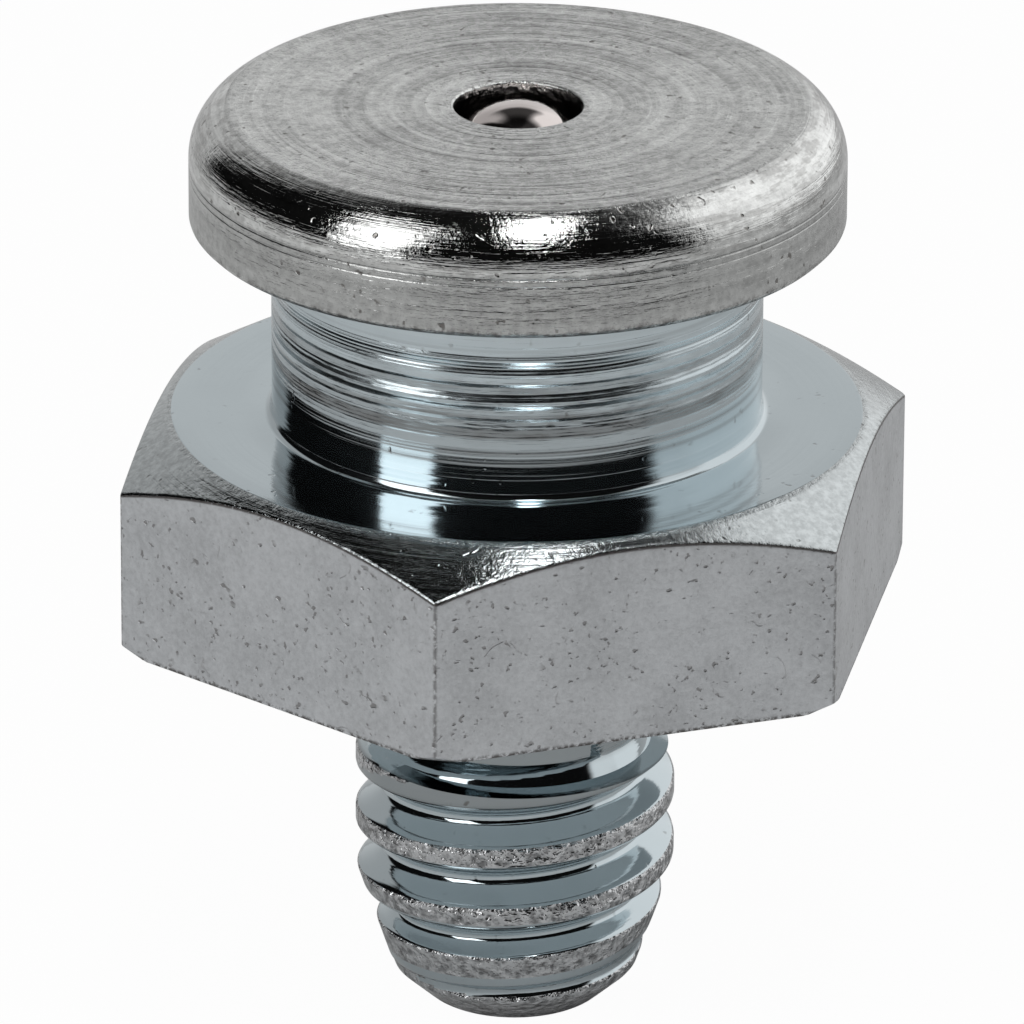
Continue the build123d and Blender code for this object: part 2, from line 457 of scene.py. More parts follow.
def head_plate(finish):
    """Zinc over the face, rounded edge and side of the head, with its turning marks and pits, and the side
    tinted darker as painted shade.
    """
    made, sheet = material("head_plate")
    place, x, y, z, radius = round_axis(sheet)
    along = radius - z
    top = HEAD_TOP_Z / MM
    foot = top - HEAD_THICKNESS
    face = sheet.step(z, top - 0.05, top - 0.01)
    wall = sheet.fall(z, top - 1.12, top - 1.00)
    hem = sheet.fall(z, foot + 0.04, foot + 0.24) * sheet.step(radius, 6.1, 6.2)
    entry = sheet.fall(radius, 1.36, 1.46)

    rings = turned_lines(sheet, x, y, along, per_mm=1.5, drift=0.04, detail=2.0)
    lines = turned_lines(sheet, x, y, along, per_mm=5.0, drift=0.08, detail=4.0)
    fine = turned_lines(sheet, x, y, along, per_mm=18.0, drift=0.22)
    grain = sheet.noise(place, scale=6.0, detail=4.0, roughness=0.7)
    cloud = sheet.noise(place, scale=0.8, detail=5.0, roughness=0.6)
    streaks = stretched_noise(sheet, x, y, z, around=1.2, upward=8.0, detail=3.0, roughness=0.65)
    fleck = sheet.noise(place, scale=14.0, detail=2.0)
    marks = pits(sheet, place, scale=5.5, patches=1.1, share=0.50)
    grooves = sum(
        sheet.step(abs(z - (top - depth)), 0.0, half_width, strength, 0.0)
        for depth, half_width, strength in HEAD_GROOVES
    )

    arcs = sheet.step(lines, 0.35, 0.65) * 0.5 + sheet.step(rings, 0.40, 0.60) * 0.5
    mottle = sheet.step(grain * 0.9 + cloud * 0.5 + arcs * 0.3, 0.55, 1.25)
    # Painted shade: the side of the head is a darker copy of the face's plate, and its mottle darkens it
    # further
    plate_with_painted_side_shade = sheet.blend(face, tint(finish.face, 1.3), tint(finish.face, 1.28))
    plate_with_painted_side_shade = sheet.blend(wall, plate_with_painted_side_shade, tint(finish.face, 1.05))
    mottled = mottle * (0.72 + 0.28 * face) + 0.3 * wall
    base = sheet.blend(mottled, plate_with_painted_side_shade, tint(finish.face, 0.52))
    brushed = sheet.step(streaks, 0.48, 0.60) * (1.0 - face) * (1.0 - wall)
    base = sheet.blend(brushed * 0.30, base, finish.stain)
    base = sheet.blend(hem * sheet.step(grain, 0.42, 0.62) * 0.9, base, finish.stain)
    base = sheet.blend(marks * 0.75, base, finish.pit_and_painted_shade)

    height = (rings - 0.5) * (1.1 + 3.5 * face) + (lines - 0.5) * (1.1 + 2.5 * face)
    height = height + (fine - 0.5) * (0.75 + 0.55 * face) + (fleck - 0.5) * 0.25
    height = height + (grain - 0.5) * (0.5 + 1.6 * face + 0.9 * wall + 3.0 * hem + 2.0 * entry)
    height = height + (streaks - 0.5) * (1.4 + 1.2 * wall - 1.2 * face)
    height = height - marks * 0.8 - grooves * 1.6
    sheet.metal(base, 0.03 + 0.15 * face + 0.17 * wall + 0.06 * grain, height, depth=0.012)
    return made


def drawn_flats(finish):
    """Zinc over the drawn bar of the hexagon's flats: mottled grey, pitted, its edges torn and stained."""
    made, sheet = material("drawn_flats")
    place, x, y, z, radius = round_axis(sheet)
    flat_radius, seat_z = HEX_FLAT_RADIUS / MM, SEAT_Z / MM
    chamfer_drop = (radius - flat_radius + HEX_TOP_SET_IN) * CHAMFER_SLOPE
    below_shoulder = seat_z + HEX_HEIGHT - chamfer_drop - z
    above_foot = z - seat_z
    from_corner = corner_distance(sheet, x, y, radius)

    grain = sheet.noise(place, scale=8.0, detail=4.0, roughness=0.7)
    fleck = sheet.noise(place, scale=18.0, detail=2.0)
    cloud = sheet.noise(place, scale=0.7, detail=5.0, roughness=0.6)
    marks = pits(sheet, place, scale=7.5, patches=0.7, share=0.56)
    dents = pits(sheet, sheet.join(x * 0.8, y * 0.8, z * 1.3), scale=5.0, patches=1.0, share=0.50)
    scratches = creases(sheet, place, scale=1.1, width=0.010, share=0.40)
    top_rim = sheet.fall(below_shoulder, 0.035, 0.08) * sheet.step(grain, 0.28, 0.40)
    foot_rim = sheet.fall(above_foot, 0.03, 0.12) * sheet.step(grain, 0.42, 0.54)
    corner = sheet.fall(from_corner, 0.01, 0.07) * sheet.step(grain, 0.38, 0.52)
    torn = sheet.largest(top_rim, foot_rim, corner * 0.6)

    mottle = sheet.step(cloud * 0.7 + grain * 0.7, 0.45, 1.05)
    base = sheet.blend(mottle, finish.flats, tint(finish.flats, 0.70))
    damage = sheet.largest(sheet.largest(marks, dents) * 0.54, scratches * 0.25)
    base = sheet.blend(damage, base, finish.pit_and_painted_shade)
    base = sheet.blend(torn * 0.9, base, finish.stain)

    height = (grain - 0.5) * (0.8 + 2.5 * torn) + (fleck - 0.5) * 0.35 + (cloud - 0.5) * 1.6
    height = height - marks * 0.7 - dents * 0.9 - scratches * 0.4
    sheet.metal(base, 0.28 + 0.12 * grain, height, depth=0.013)
    return made


def rough_crest(finish):
    """Zinc over the crests of the thread and the nose, where the rolling left them rough."""
    made, sheet = material("rough_crest")
    place = sheet.millimetres()
    x, y, z = sheet.split(place)
    grain = sheet.noise(place, scale=5.5, detail=2.5, roughness=0.6)
    chips = sheet.cells(place, 4.5)
    tears = stretched_noise(sheet, x, y, z, around=2.0, upward=6.0)
    base = sheet.blend(sheet.step(grain, 0.30, 0.60), tint(finish.crest, 0.36), finish.crest)
    base = sheet.blend(sheet.step(tears, 0.62, 0.70) * 0.5, base, finish.stain)
    height = (grain - 0.5) * 2.2 + chips * 0.8 + (tears - 0.5) * 0.9
    sheet.metal(base, 0.14 + 0.12 * grain, height, depth=0.055)
    return made


def bore_steel(finish):
    """Bored steel inside the grease passage, painted dark as shade deep in the bore, with bright burrs just
    inside the inlet.
    """
    made, sheet = material("bore_steel")
    place, x, y, z, radius = round_axis(sheet)
    top = HEAD_TOP_Z / MM
    lines = turned_lines(sheet, x, y, radius - z, per_mm=8.0)
    burrs = sheet.noise(place, scale=4.5, detail=2.0) * sheet.step(z, top - 0.45, top - 0.15)
    base = sheet.blend(lines, finish.bore, tint(finish.bore, 0.6))
    base = sheet.blend(sheet.step(burrs, 0.50, 0.60), base, finish.face)
    sheet.metal(base, 0.14 + 0.10 * lines, lines + burrs * 8.0, depth=0.01)
    return made


def ball_steel(finish):
    """Polished bearing steel with a faint film of grease."""
    made, sheet = material("ball_steel")
    film = sheet.noise(sheet.millimetres(), scale=1.5, detail=3.0)
    base = sheet.blend(film * 0.4, finish.ball, tint(finish.ball, 0.85))
    sheet.metal(base, 0.05 + 0.06 * film, film, depth=0.004)
    return made


def spring_wire(finish):
    """Drawn wire, a little dull."""
    made, sheet = material("spring_wire")
    grain = sheet.noise(sheet.millimetres(), scale=12.0, detail=3.0)
    base = sheet.blend(grain * 0.6, finish.spring, tint(finish.spring, 0.7))
    sheet.metal(base, 0.28 + 0.12 * grain, grain, depth=0.004)
    return made


# ---------------- meshes

MERGE_DISTANCE = 2e-7
SHARP_ANGLE = math.radians(40)

# Degrees from each corner of the hexagon where the body has columns besides its whole degrees
CORNER_STEPS = (0.0, 0.12, 0.24, 0.36, 0.65)

# Bands of the body's mesh, in the order of BODY_FINISHES
PLATE, HEAD, FLATS, CREST, BORE, CHAMFER = range(6)
BODY_FINISHES = (turned_plate, head_plate, drawn_flats, rough_crest, bore_steel, chamfer_plate)

# Thread: its flanks, the turns it takes from below the tip, and how far its edges are rounded
FLANK_TILT = math.radians(30)
FLANK_SLOPE = math.tan(FLANK_TILT)
THREAD_TURNS = range(-1, 5)
CREST_ROUNDING = 0.12 * MM
RUN_OUT_ROUNDING = 0.005 * MM

# Shares of the run-out's length, each with the share of its rise that is left there
RUN_OUT_SWEEP = (0.06, 0.24), (0.35, 0.17), (0.65, 0.09), (1.0, 0.0)

# Shares of the run-out's length where its level rows lie
RUN_OUT_ROWS = (0.03, 0.06, 0.09, 0.16, 0.25, 0.35, 0.45, 0.55, 0.65, 0.75, 0.85, 0.95, 1.0, 1.05)

# Spring: steps in a turn, sides of its wire, and rise of an end coil in wire radii
COIL_STEPS = 48
WIRE_SIDES = 12
END_COIL_RISE = 2.2


def add_object(name, data):
    """Puts a new object in the scene."""
    made = bpy.data.objects.new(name, data)
    bpy.context.scene.collection.objects.link(made)
    return made


def new_piece(name, points, faces, bands, materials):
    """A smooth-shaded mesh with a material for each band of faces, its doubled points merged."""
    mesh = bpy.data.meshes.new(name)
    mesh.from_pydata(points, [], faces)
    for made in materials:
        mesh.materials.append(made)
    mesh.polygons.foreach_set("material_index", bands)
    work = bmesh.new()
    work.from_mesh(mesh)
    bmesh.ops.remove_doubles(work, verts=work.verts, dist=MERGE_DISTANCE)
    bmesh.ops.recalc_face_normals(work, faces=work.faces)
    work.to_mesh(mesh)
    work.free()
    mesh.shade_smooth()
    mesh.set_sharp_from_angle(angle=SHARP_ANGLE)
    return add_object(name, mesh)


def column_angles():
    """Angles of the body's columns, from 0 round to just short of a whole turn."""
    before = [60 - step for step in reversed(CORNER_STEPS[1:])]
    side = [*CORNER_STEPS, *range(1, 60), *before]
    return np.radians([60 * corner + step for corner in range(6) for step in side])


def hexagon_radius(angles, sizes):
    """Distance from the axis to the hexagon's side, its corners rounded."""
    half_side = math.radians(30)
    corner = sizes.hex_corner
    across = np.degrees(angles) % 60
    from_corner = np.radians(np.minimum(across, 60 - across))
    flat = HEX_FLAT_RADIUS / np.cos(half_side - from_corner)
    centre = (HEX_FLAT_RADIUS - corner) / math.cos(half_side)
    inside = np.maximum(corner**2 - (centre * np.sin(from_corner)) ** 2, 0)
    arc = centre * np.cos(from_corner) + np.sqrt(inside)
    touch = math.atan2(corner * math.sin(half_side), centre + corner * math.cos(half_side))
    return np.where(from_corner < touch, arc, flat)


def ramp(values, start, width):
    """Straight rise from 0 at start to 1 a width further."""
    return np.clip((values - start) / width, 0, 1)


def smooth_least(first, second, width):
    """The lesser of two radii, rounded where they cross."""
    share = np.clip(0.5 + 0.5 * (second - first) / width, 0, 1)
    return second * (1 - share) + first * share - width * share * (1 - share)


def part_way(start, end, shares):
    """Values at shares of the way from start to end."""
    return [start + (end - start) * share for share in shares]


class Profile:
    """Rings of points from the tip's outlet, round the outside, over the head and back down the bore."""

    def __init__(self, angles):
        self.angles = angles
        self.rings = []
        self.bands = []

    def ring(self, radius, z, band):
        """Adds a ring; band is the material of the strip that leads to it."""
        count = len(self.angles)
        self.rings.append((np.broadcast_to(radius, count), np.broadcast_to(z, count)))
        self.bands.append(np.full(count, band))

    def run(self, start, end, shares, band):
        """Adds rings at shares of the way from one (radius, z) to another."""
        for radius, z in zip(part_way(start[0], end[0], shares), part_way(start[1], end[1], shares)):
            self.ring(radius, z, band)

    def arc(self, centre, radius, start, end, steps, band):
        """Adds rings along an arc about (radius, z) centre, from angle start to end in degrees."""
        for turned in part_way(start, end, np.linspace(0, 1, steps + 1)):
            turn = math.radians(turned)
            self.ring(centre[0] + radius * math.cos(turn), centre[1] + radius * math.sin(turn), band)


def relief_radius(sizes):
    return MAJOR_RADIUS - sizes.thread_depth - sizes.relief_depth


def run_out_z(sizes):
    """Height where the thread starts to run out into the relief."""
    return RELIEF_Z - (sizes.thread_depth + sizes.relief_depth) * FLANK_SLOPE


def shank_outline(z, sizes):
    """Radius of the shank's turned outline at a height."""
    nose = MAJOR_RADIUS - sizes.taper_drop
    relief = relief_radius(sizes)
    start = run_out_z(sizes)
    heights = [0, sizes.nose_length, sizes.nose_length + sizes.taper_length, start]
    radii = [nose - sizes.nose_drop, nose, MAJOR_RADIUS, MAJOR_RADIUS]
    for share, left in RUN_OUT_SWEEP:
        heights.append(start + (RELIEF_Z - start) * share)
        radii.append(relief + (MAJOR_RADIUS - relief) * left)
    return np.interp(z, heights + [SEAT_Z], radii + [relief])


def minor_radius(heights, outline, sizes):
    """Radius of the thread's root, which follows the lead taper and fades out towards the nose."""
    at_nose = 0.12 * ramp(heights, sizes.nose_length, 0.25 * MM)
    up_taper = 0.36 * ramp(heights, sizes.nose_length + 0.55 * MM, 0.60 * MM)
    return np.minimum(MAJOR_RADIUS - sizes.thread_depth, outline - (at_nose + up_taper) * MM)


def root_shape(sizes):
    """Half width of the root's level part, and the radius that rounds it."""
    half = (sizes.thread_pitch - sizes.thread_crest) / 2 - sizes.thread_depth * FLANK_SLOPE
    return half, half / FLANK_SLOPE


def thread_surface(angles, heights, sizes):
    """Radius of the threaded shank, and how deep the groove is there below its outline."""
    pitch = sizes.thread_pitch
    outline = shank_outline(heights, sizes)
    minor = minor_radius(heights, outline, sizes)
    root_half, root_round = root_shape(sizes)
    aside = np.abs((heights - pitch * angles / math.tau + pitch / 2) % pitch - pitch / 2)
    root = minor + root_round - np.sqrt(np.maximum(root_round**2 - aside**2, 0))
    flank = minor + (aside - root_half) / FLANK_SLOPE
    groove = np.where(aside < root_round * math.cos(FLANK_TILT), root, flank)
    rounding = np.where(heights > run_out_z(sizes), RUN_OUT_ROUNDING, CREST_ROUNDING)
    return smooth_least(groove, outline, rounding), outline - groove


def crest_side(height, sizes):
    """Half the groove's width along the axis, where its flanks meet the outline at a height."""
    outline = shank_outline(height, sizes)
    depth = outline - minor_radius(height, outline, sizes)
    return root_shape(sizes)[0] + depth * FLANK_SLOPE


def crest_edges(groove, root_low, root_high, sizes):
    """Heights of a crest's two edges, found in a few rounds because the taper shifts them."""
    pitch = sizes.thread_pitch
    low = high = groove + pitch / 2
    for _ in range(7):
        low = groove + crest_side(low, sizes)
        high = groove + pitch - crest_side(high, sizes)
    return np.maximum(low, root_low), np.minimum(high, root_high)


def turn_rows(groove, sizes):
    """Rows of one turn of the thread: from the middle of a groove, over its crest, to the next."""
    root_round = root_shape(sizes)[1]
    next_groove = groove + sizes.thread_pitch
    root_low = groove + root_round * math.cos(FLANK_TILT)
    root_high = next_groove - root_round * math.cos(FLANK_TILT)
    crest_low, crest_high = crest_edges(groove, root_low, root_high, sizes)
    rows = [groove + root_round * math.sin(math.radians(turned)) for turned in (0, 15, 30, 45, 60)]
    rows += part_way(root_low, crest_low, (0.3, 0.6))
    rows += [crest_low + offset * MM for offset in (-0.07, -0.04, -0.01, 0.03, 0.07)]
    rows += part_way(crest_low, crest_high, (0.3, 0.5, 0.7))
    rows += [crest_high + offset * MM for offset in (-0.07, -0.03, 0.01, 0.04, 0.07)]
    rows += part_way(crest_high, root_high, (0.4, 0.7))
    for turned in (-60, -45, -30, -15):
        rows.append(next_groove + root_round * math.sin(math.radians(turned)))
    return rows


def thread_rows(angles, sizes):
    """Rows that climb with the thread to where it runs out, then level rows over the run-out."""
    pitch = sizes.thread_pitch
    low, high = sizes.nose_length + 0.03 * MM, run_out_z(sizes)
    turns = [turn_rows(pitch * (angles / math.tau + turn), sizes) for turn in THREAD_TURNS]
    climbing = np.maximum.accumulate(np.clip(np.concatenate(turns), low, high), axis=0)
    level = high + (RELIEF_Z - high) * np.array(RUN_OUT_ROWS)
    heights = np.concatenate([climbing, np.repeat(level[:, None], len(angles), axis=1)])
    radii, depths = thread_surface(angles, heights, sizes)

    # The crests' finish is narrower towards the run-out, and covers the whole nose
    within = (heights - pitch * angles / math.tau) % pitch / pitch
    narrowing = ramp(heights, high - 0.50 * MM, 0.45 * MM)
    on_nose = heights < sizes.nose_length + 0.25 * MM
    rough = (depths < 0.05 * MM) & ((within > 0.38 + 0.25 * narrowing) | on_nose)
    bands = np.where(rough & (heights < high - 0.005 * MM), CREST, PLATE)
    return heights, radii, bands, len(turns[0]), len(climbing)


def lower_body(profile, sizes):
    """Rings of the tip, below the thread."""
    nose = MAJOR_RADIUS - sizes.taper_drop
    tip = nose - sizes.nose_drop
    outlet = sizes.outlet_radius
    bevel = 0.04 * MM
    profile.ring(outlet, bevel, BORE)
    profile.ring(outlet + bevel, 0, BORE)
    profile.ring((outlet + tip) / 2, 0, CREST)
    profile.ring(tip - bevel, 0, CREST)
    profile.ring(tip - bevel * 0.2, bevel * 0.25, CREST)
    profile.ring(tip + bevel, bevel, CREST)
    profile.run((tip, 0), (nose, sizes.nose_length), (0.25, 0.5, 0.75, 0.93), CREST)


def middle_body(profile, sizes):
    """Rings of the relief and the hexagon, whose edges are softened by a small step."""
    relief = relief_radius(sizes)
    side = hexagon_radius(profile.angles, sizes)
    seat = HEX_FLAT_RADIUS + sizes.hex_seat_set_out
    top = HEX_FLAT_RADIUS - sizes.hex_top_set_in
    top_z = SEAT_Z + sizes.hex_height
    soft = 0.035 * MM
    profile.run((relief, RELIEF_Z), (relief, SEAT_Z), (0.03, 0.25, 0.5, 0.75), PLATE)
    profile.ring(relief, SEAT_Z - 0.08 * MM, PLATE)
    profile.ring(relief + 0.02 * MM, SEAT_Z - 0.02 * MM, PLATE)
    profile.ring(relief + 0.08 * MM, SEAT_Z, PLATE)
    profile.ring((relief + HEX_FLAT_RADIUS) / 2, SEAT_Z, PLATE)
    profile.ring(np.minimum(side - 2 * soft, seat - soft), SEAT_Z, PLATE)

    foot = SEAT_Z + np.maximum(side - seat, 0) * CHAMFER_SLOPE
    shoulder = top_z - (side - top) * CHAMFER_SLOPE
    profile.ring(np.minimum(side - soft, seat), SEAT_Z + 0.2 * soft, FLATS)
    profile.ring(side - soft, foot, FLATS)
    profile.ring(side - soft * 0.3, foot + soft * 0.5, FLATS)
    profile.ring(side, foot + soft * 1.2, FLATS)
    profile.run((side, foot), (side, shoulder), (0.03, 0.2, 0.4, 0.6, 0.8, 0.96), FLATS)
    profile.ring(side, shoulder - soft * 1.2, FLATS)
    profile.ring(side - soft * 0.25, shoulder - soft * 0.35, FLATS)

    outer = side - soft, shoulder + soft * CHAMFER_SLOPE
    inner = top + soft, top_z - soft * CHAMFER_SLOPE
    profile.run(outer, inner, (0, 0.04, 0.3, 0.6, 0.9), CHAMFER)
    profile.ring(top - 0.02 * MM, top_z - 0.002 * MM, CHAMFER)
    profile.ring(top - 0.06 * MM, top_z, PLATE)


def neck_rings(profile, sizes):
    """Rings from the top of the hexagon, up the neck, to the underside of the head."""
    top_z = SEAT_Z + sizes.hex_height
    under_z = HEAD_TOP_Z - sizes.head_thickness
    neck, fillet = sizes.neck_radius, sizes.neck_fillet
    shares = (0.01, 0.1, 0.3, 0.5, 0.7, 0.9, 0.99)
    profile.run((HEX_FLAT_RADIUS, top_z), (neck, top_z), (0.35, 0.7), PLATE)
    profile.arc((neck + fillet, top_z + fillet), fillet, 270, 180, 6, PLATE)
    profile.run((neck, top_z + fillet), (neck, under_z - fillet), shares, PLATE)
    profile.arc((neck + fillet, under_z - fillet), fillet, 180, 90, 6, PLATE)
    profile.ring((neck + HEAD_RADIUS) / 2, under_z, PLATE)


def head_rings(profile, sizes):
    """Rings up the side of the head and over its face, into the mouth of the inlet."""
    under_z = HEAD_TOP_Z - sizes.head_thickness
    chamfer = sizes.head_under_chamfer
    profile.ring(HEAD_RADIUS - chamfer - 0.02 * MM, under_z, HEAD)
    profile.ring(HEAD_RADIUS - chamfer + 0.01 * MM, under_z + 0.01 * MM, HEAD)
    profile.ring(HEAD_RADIUS - 0.01 * MM, under_z + chamfer - 0.01 * MM, HEAD)
    profile.ring(HEAD_RADIUS, under_z + chamfer + 0.02 * MM, HEAD)

    edge, inlet = sizes.head_edge_radius, sizes.inlet_radius
    edge_z = HEAD_TOP_Z - sizes.head_edge_drop
    face = HEAD_RADIUS - edge
    end = math.asin(sizes.head_edge_drop / edge)
    profile.run((HEAD_RADIUS, under_z + chamfer), (HEAD_RADIUS, edge_z), (0.3, 0.65), HEAD)
    profile.arc((face, edge_z), edge, 0, math.degrees(end), 16, HEAD)

    bevel = 0.05 * MM
    rim = face + edge * math.cos(end)
    near_rim = rim - 0.03 * MM, face - 0.2 * MM
    for radius in (*near_rim, face * 0.8, face * 0.6, face * 0.4, inlet + 3 * bevel):
        profile.ring(radius, HEAD_TOP_Z, HEAD)
    profile.arc((inlet + bevel, HEAD_TOP_Z - bevel), bevel, 90, 180, 5, HEAD)
    profile.ring(inlet, HEAD_TOP_Z - bevel - 0.05 * MM, HEAD)


def bore_rings(profile, sizes):
    """Rings of the inlet, the ball's seat and the bore, down to the lip."""
    tilt = math.radians(30)
    reach = BALL_RADIUS + sizes.seat_gap
    contact, contact_z = reach * math.cos(tilt), BALL_Z + reach * math.sin(tilt)
    bore = BALL_RADIUS + sizes.bore_gap
    inlet = sizes.inlet_radius
    foot_z = contact_z - (bore - contact) / math.tan(tilt)
    profile.ring(inlet, contact_z + (contact - inlet) / math.tan(tilt), BORE)
    profile.ring(bore, foot_z, BORE)
    profile.run((bore, foot_z), (bore, sizes.lip_thickness), (0.33, 0.67, 1.0), BORE)
    profile.ring(sizes.outlet_radius, sizes.lip_thickness, BORE)


def body_mesh(sizes):
    """Points, faces and material bands of the whole body as one closed skin."""
    angles = column_angles()
    count = len(angles)
    below = Profile(angles)
    lower_body(below, sizes)
    heights, radii, thread_bands, per_turn, climbing = thread_rows(angles, sizes)
    above = Profile(angles)
    for add_rings in (middle_body, neck_rings, head_rings, bore_rings):
        add_rings(above, sizes)
    rings = below.rings + list(zip(radii, heights)) + above.rings
    bands = below.bands + list(thread_bands) + above.bands
    points = np.concatenate([
        np.stack([radius * np.cos(angles), radius * np.sin(angles), z], axis=1) for radius, z in rings
    ])

    # The thread's rows end a turn higher than they start; elsewhere a row closes on itself
    thread_start, thread_end = len(below.rings), len(below.rings) + climbing - 1
    faces, face_bands = [], []
    for row in range(len(rings)):
        after = (row + 1) % len(rings)
        climbs = thread_start <= row < thread_end
        for column in range(count):
            if column < count - 1:
                right, right_after = row * count + column + 1, after * count + column + 1
            elif not climbs:
                right, right_after = row * count, after * count
            elif after + per_turn <= thread_end:
                right, right_after = (row + per_turn) * count, (after + per_turn) * count
            else:
                continue
            faces.append((row * count + column, right, right_after, after * count + column))
            face_bands.append(int(bands[after][column]))
    return points, faces, face_bands


def spring_mesh(sizes):
    """A round wire wound from a closed coil, through the open coils, to a closed coil."""
    wire = sizes.wire_radius
    coil = max(SPRING_HIGH.y, (SPRING_HIGH.x - SPRING_LOW.x) / 2) - wire
    bottom, top = SPRING_LOW.z + wire, SPRING_HIGH.z - wire
    end_rise = END_COIL_RISE * wire
    coils = sizes.coils + 2
    turns = np.linspace(0, coils, coils * COIL_STEPS + 1)
    levels = [bottom, bottom + end_rise, top - end_rise, top]
    centre_z = np.interp(turns, [0, 1, coils - 1, coils], levels)
    sides = np.arange(WIRE_SIDES) * math.tau / WIRE_SIDES
    points, faces = [], []
    for turn, z in zip(turns * math.tau, centre_z):
        for side in sides:
            reach = coil + wire * math.cos(side)
            points.append((reach * math.cos(turn), reach * math.sin(turn), z + wire * math.sin(side)))
    for row in range(0, len(points) - WIRE_SIDES, WIRE_SIDES):
        for side in range(WIRE_SIDES):
            near, beside = row + side, row + (side + 1) % WIRE_SIDES
            faces.append((near, beside, beside + WIRE_SIDES, near + WIRE_SIDES))
    faces.append(tuple(range(WIRE_SIDES)))
    faces.append(tuple(range(len(points) - WIRE_SIDES, len(points))))
    return points, faces


# ---------------- studio

UP = Vector((0, 0, 1))
LAMP_AIM = UP * 0.012
SENSOR_WIDTH = 36
WHITE = (1.0, 1.0, 1.0)
FILL_GREY = (0.34, 0.34, 0.34)
LEAST_REFLECTION = 0.004

# The floor lies just clear of the tip, and the camera sees this share of it as plain white
FLOOR_GAP = 0.01 * MM
WHITE_SHARE = 0.97


def camera_axes(studio):
    """Right, up and back of the camera, and back's way along the floor."""
    turn, rise = studio.azimuth, studio.elevation
    ahead = Vector((math.sin(turn), -math.cos(turn), 0))
    back = ahead * math.cos(rise) + UP * math.sin(rise)
    right = UP.cross(back).normalized()
    return right, back.cross(right), back, ahead


def studio_world(scene, studio):
    """White for the camera, even grey for diffuse light, and a dark front for what metal reflects."""
    world = bpy.data.worlds.new("studio")
    world.use_nodes = True
    scene.world = world
    sheet = Sheet(world.node_tree)
    right, _, _, ahead = camera_axes(studio)
    way = sheet.node("ShaderNodeTexCoord", out="Generated")
    front, side = sheet.dot(way, ahead), sheet.dot(way, right)
    rise = sheet.dot(way, UP)

    # Degrees round from the camera's way: bright walls stand at both sides, with more on the right
    around = sheet.math("ARCTAN2", side, front) * (180 / math.pi)
    far = sheet.fall(around, 142, 170)
    right_wall = 0.93 * sheet.step(around, 64, 71) - 0.08 * sheet.step(around, 100, 130)
    right_wall = right_wall - 0.23 * sheet.step(around, 140, 179)
    right_high = 0.75 * sheet.step(around, 84, 110) * far * sheet.step(rise, 0.27, 0.46)
    right_low = 0.40 * sheet.step(around, 90, 106) * far * sheet.fall(rise, 0.27, 0.40)
    near_shade = 0.30 * sheet.fall(rise, 0.05, 0.20) * sheet.span(around, (62, 72), (86, 96))
    left_wall = sheet.fall(around, -141, -135) * (0.62 - 0.16 * sheet.step(around, -175, -155))
    back_low = 0.06 * sheet.fall(rise, 0.366, 0.405) * sheet.step(abs(around), 150, 165)
    light = right_wall + right_high - near_shade + right_low + left_wall + back_low
    light = light * (1.0 - 0.92 * sheet.step(rise, 0.50, 0.62) * sheet.step(abs(around), 148, 166))
    light = light * sheet.step(rise, 0.75, 0.93, 1.0, 0.02)

    reflection = sheet.blend(sheet.largest(light, LEAST_REFLECTION), (0, 0, 0), WHITE)
    glossy = sheet.node("ShaderNodeLightPath", out="Is Glossy Ray")
    camera = sheet.node("ShaderNodeLightPath", out="Is Camera Ray")
    shown = sheet.blend(glossy, FILL_GREY, reflection)
    shown = sheet.blend(camera, shown, WHITE)
    background = sheet.node("ShaderNodeBackground", Color=shown, Strength=1.0)
    sheet.node("ShaderNodeOutputWorld", Surface=background)


def pale_floor(studio):
    """A pale floor that the camera sees as white, with the part's shadow on it."""
    work = bmesh.new()
    bmesh.ops.create_circle(work, cap_ends=True, segments=96, radius=studio.floor_radius)
    mesh = bpy.data.meshes.new("floor")
    work.to_mesh(mesh)
    work.free()
    made, sheet = material("pale_floor")
    grey = studio.floor_paleness
    matt = sheet.node("ShaderNodeBsdfDiffuse", Color=(grey, grey, grey))
    white = sheet.node("ShaderNodeEmission", Color=WHITE, Strength=1.0)
    camera = sheet.node("ShaderNodeLightPath", out="Is Camera Ray")
    surface = sheet.node("ShaderNodeMixShader", _0=camera * WHITE_SHARE, _1=matt, _2=white)
    sheet.node("ShaderNodeOutputMaterial", Surface=surface)
    mesh.materials.append(made)
    floor = add_object("floor", mesh)
    floor.location.z = -FLOOR_GAP


def soft_lamp(name, place, size, radiance, across):
    """A rectangular studio lamp that the camera doesn't see, its width lying across."""
    light = bpy.data.lights.new(name, "AREA")
    light.shape = "RECTANGLE"
    light.size, light.size_y = size
    light.energy = radiance * math.pi * size[0] * size[1]
    lamp = add_object(name, light)
    back = (place - LAMP_AIM).normalized()
    up = back.cross(across).normalized()
    axes = Matrix((up.cross(back), up, back)).transposed()
    lamp.matrix_world = Matrix.Translation(place) @ axes.to_4x4()
    lamp.visible_camera = False


# ---------------- operators

class NIPPLE_OT_body(bpy.types.Operator):
    """Builds the plated body: thread, hexagon, neck and head in one piece"""

    bl_idname = "nipple.body"
    bl_label = "Plated Body"

    def execute(self, context):
        sizes, finish = context.scene.nipple_sizes, context.scene.nipple_finish
        points, faces, bands = body_mesh(sizes)
        finishes = [make(finish) for make in BODY_FINISHES]
        body = new_piece("plated_body", points, faces, bands, finishes)
        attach(body, "body")
        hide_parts("nipple_body")
        return {"FINISHED"}


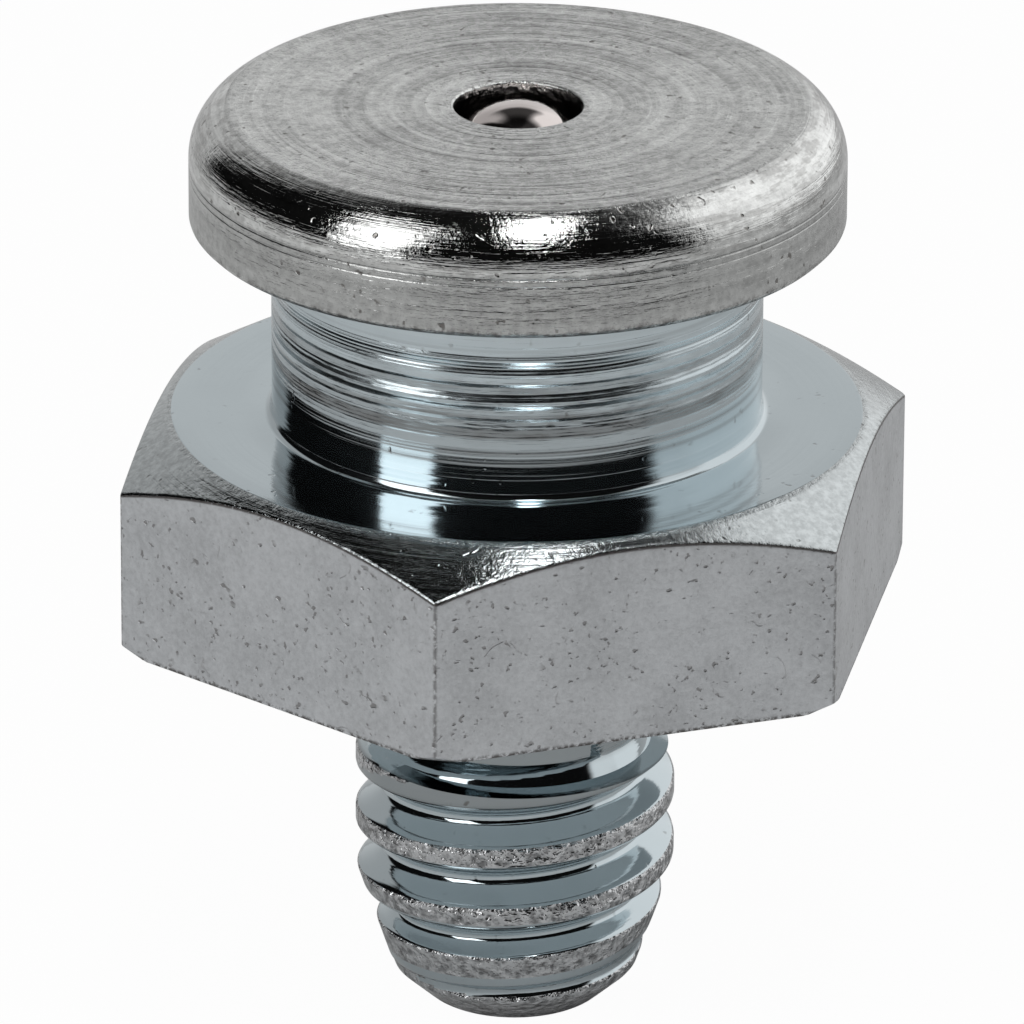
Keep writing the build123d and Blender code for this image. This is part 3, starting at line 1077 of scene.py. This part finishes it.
class NIPPLE_OT_ball(bpy.types.Operator):
    """Builds the check ball that closes the inlet"""

    bl_idname = "nipple.ball"
    bl_label = "Check Ball"

    def execute(self, context):
        work = bmesh.new()
        centre = Matrix.Translation((0, 0, BALL_Z))
        bmesh.ops.create_icosphere(work, subdivisions=5, radius=BALL_RADIUS, matrix=centre)
        mesh = bpy.data.meshes.new("closing_ball")
        work.to_mesh(mesh)
        work.free()
        mesh.shade_smooth()
        mesh.materials.append(ball_steel(context.scene.nipple_finish))
        ball = add_object("closing_ball", mesh)
        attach(ball, "ball")
        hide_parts("check_ball")
        return {"FINISHED"}


class NIPPLE_OT_spring(bpy.types.Operator):
    """Builds the spring under the ball, at its full length"""

    bl_idname = "nipple.spring"
    bl_label = "Check Spring"

    def execute(self, context):
        points, faces = spring_mesh(context.scene.nipple_sizes)
        finish = [spring_wire(context.scene.nipple_finish)]
        spring = new_piece("closing_spring", points, faces, [0] * len(faces), finish)
        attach(spring, "body")
        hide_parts("check_spring")
        travel = next(joint for joint in frame["joints"] if joint["name"] == "ball_press")["range_m"][1]
        height = SPRING_HIGH.z - SPRING_LOW.z
        (height - travel) / height
        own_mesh(spring)
        return {"FINISHED"}


class NIPPLE_OT_stage(bpy.types.Operator):
    """Sets up the floor, the world, the lamps and the camera"""

    bl_idname = "nipple.stage"
    bl_label = "Studio"

    def execute(self, context):
        scene, studio = context.scene, context.scene.nipple_studio
        right, up, back, ahead = camera_axes(studio)
        studio_world(scene, studio)
        pale_floor(studio)
        soft_lamp(
            "overhead_strip", UP * 0.30 + right * 0.021 + ahead * 0.093,
            size=(0.032, 0.235), radiance=9.0, across=right,
        )
        soft_lamp(
            "left_softbox", (ahead * 0.489 - right * 0.649 + UP * 0.58) * 0.30,
            size=(0.13, 0.26), radiance=2.35, across=ahead * 0.80 + right * 0.60,
        )
        lens = bpy.data.cameras.new("camera")
        lens.sensor_width = SENSOR_WIDTH
        lens.lens = studio.lens
        lens.clip_start, lens.clip_end = 0.01, 10
        camera = add_object("camera", lens)
        aim = UP * SEAT_Z + right * studio.aim_right + up * studio.aim_up
        lean = Matrix.Rotation(studio.roll, 3, back)
        axes = Matrix((lean @ right, lean @ up, back)).transposed()
        camera.matrix_world = Matrix.Translation(aim + back * studio.distance) @ axes.to_4x4()
        scene.camera = camera
        scene.view_settings.view_transform = "Standard"
        return {"FINISHED"}


class NIPPLE_PT_panel(bpy.types.Panel):
    """Lists the pieces and the sizes and colours that they are made with"""

    bl_label = "Grease Nipple"
    bl_idname = "NIPPLE_PT_panel"
    bl_space_type = "VIEW_3D"
    bl_region_type = "UI"
    bl_category = "Grease Nipple"

    def draw(self, context):
        layout = self.layout
        for operator in OPERATORS:
            layout.operator(operator.bl_idname)
        for group_name, group in GROUPS.items():
            box = layout.box()
            for name in group.__annotations__:
                box.prop(getattr(context.scene, group_name), name)


GROUPS = {"nipple_sizes": NippleSizes, "nipple_finish": NippleFinish, "nipple_studio": StudioSettings}
OPERATORS = (NIPPLE_OT_body, NIPPLE_OT_ball, NIPPLE_OT_spring, NIPPLE_OT_stage)
CLASSES = (*GROUPS.values(), *OPERATORS, NIPPLE_PT_panel)


def register():
    for item in CLASSES:
        bpy.utils.register_class(item)
    for name, group in GROUPS.items():
        setattr(bpy.types.Scene, name, bpy.props.PointerProperty(type=group))


def unregister():
    for name in GROUPS:
        delattr(bpy.types.Scene, name)
    for item in reversed(CLASSES):
        bpy.utils.unregister_class(item)


def main():
    register()
    bpy.ops.nipple.body()
    bpy.ops.nipple.ball()
    bpy.ops.nipple.spring()
    bpy.ops.nipple.stage()


if __name__ == "__main__":
    main()
